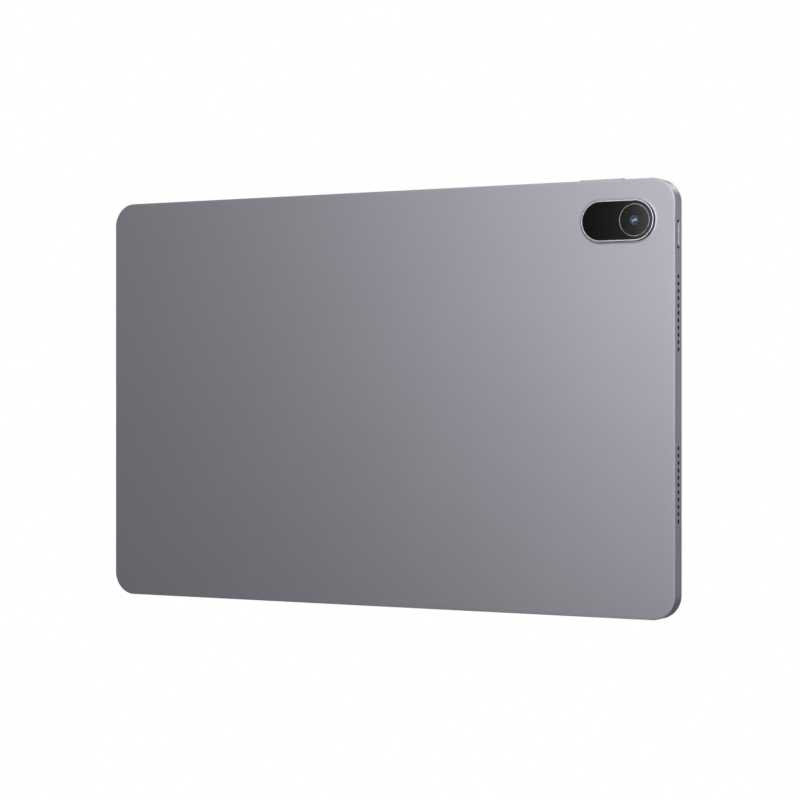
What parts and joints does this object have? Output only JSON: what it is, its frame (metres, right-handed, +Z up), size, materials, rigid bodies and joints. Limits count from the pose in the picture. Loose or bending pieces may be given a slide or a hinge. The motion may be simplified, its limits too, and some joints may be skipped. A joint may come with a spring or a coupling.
{
  "type": "tablet computer",
  "caption": "Flat slab tablet computer: rounded metal casing, full glass front, raised pill-shaped rear camera window, power key on the side and volume rocker on the top edge.",
  "frame": {"origin": "middle of the long bottom edge, on the casing's bottom face, half way through its thickness", "axes": "+Z up along the casing's height as it stands on its long edge, +Y out of the screen, -Y out of the back and its camera, +X towards the side with the power key (on the right when the back is looked at)"},
  "size_m": [0.2528, 0.0082, 0.1644],
  "materials": {
    "casing_aluminium": "satin",
    "key_aluminium": "satin",
    "polished_trim": "polished",
    "camera_glass": "polished",
    "coated_lens": "polished",
    "cover_glass": "polished",
    "lcd_panel": "polished",
    "reflector": "satin",
    "black_plastic": "matte",
    "steel": "satin",
    "speaker_mesh": "matte",
    "circuit_board": "satin",
    "flex_circuit": "satin",
    "battery_pouch": "satin",
    "graphite": "satin",
    "adhesive": "matte"
  },
  "bodies": {
    "tablet": {"rear_casing": "casing_aluminium", "camera_trim_ring": "polished_trim", "lens_trim_ring": "polished_trim", "camera_window": "camera_glass", "lens_glass": "coated_lens", "rear_camera_barrel": "black_plastic", "rear_camera_housing": "steel", "rear_camera_flex": "flex_circuit", "power_switch": "black_plastic", "power_bracket": "steel", "volume_switch_board": "circuit_board", "volume_bracket": "steel", "speaker_right_upper": "black_plastic", "speaker_right_lower": "black_plastic", "speaker_left_upper": "black_plastic", "speaker_left_lower": "black_plastic", "speaker_mesh_right_upper": "speaker_mesh", "speaker_mesh_right_lower": "speaker_mesh", "speaker_mesh_left_upper": "speaker_mesh", "speaker_mesh_left_lower": "speaker_mesh", "usb_socket_shell": "steel", "usb_socket_tongue": "black_plastic", "usb_board": "circuit_board", "microphone": "steel", "main_board": "circuit_board", "processor": "black_plastic", "processor_shield": "steel", "power_shield": "steel", "radio_shield": "steel", "board_link_flex": "flex_circuit", "graphite_sheet": "graphite", "battery_cell_left": "battery_pouch", "battery_cell_right": "battery_pouch", "battery_protection_board": "circuit_board", "battery_lead": "flex_circuit", "antenna_left": "black_plastic", "antenna_right": "black_plastic", "antenna_lead_left": "black_plastic", "antenna_lead_right": "black_plastic", "cover_glass": "cover_glass", "display_adhesive": "adhesive", "display_frame": "black_plastic", "lcd_panel": "lcd_panel", "backlight_unit": "reflector", "display_backplate": "steel", "display_flex": "flex_circuit", "front_camera": "black_plastic", "front_camera_lens": "coated_lens", "light_sensor": "black_plastic", "screw_main_board_1": "steel", "screw_main_board_2": "steel", "screw_main_board_3": "steel", "screw_main_board_4": "steel", "screw_usb_board_1": "steel", "screw_usb_board_2": "steel", "screw_power_bracket": "steel", "screw_volume_bracket": "steel"},
    "power_key": {"power_button": "key_aluminium"},
    "volume_key": {"volume_rocker": "key_aluminium"}
  },
  "joints": [
    {"name": "power_press", "type": "slide", "parent": "tablet", "child": "power_key", "axis": [-1, 0, 0], "range_m": [0, 0.0004], "stiffness_N_per_m": 3000, "springref_m": -0.0002},
    {"name": "volume_tilt", "type": "hinge", "parent": "tablet", "child": "volume_key", "pos_m": [0.0958, -0.00015, 0.1605], "axis": [0, 1, 0], "range_deg": [-1.2, 1.2], "stiffness_Nm_per_rad": 0.4}
  ]
}
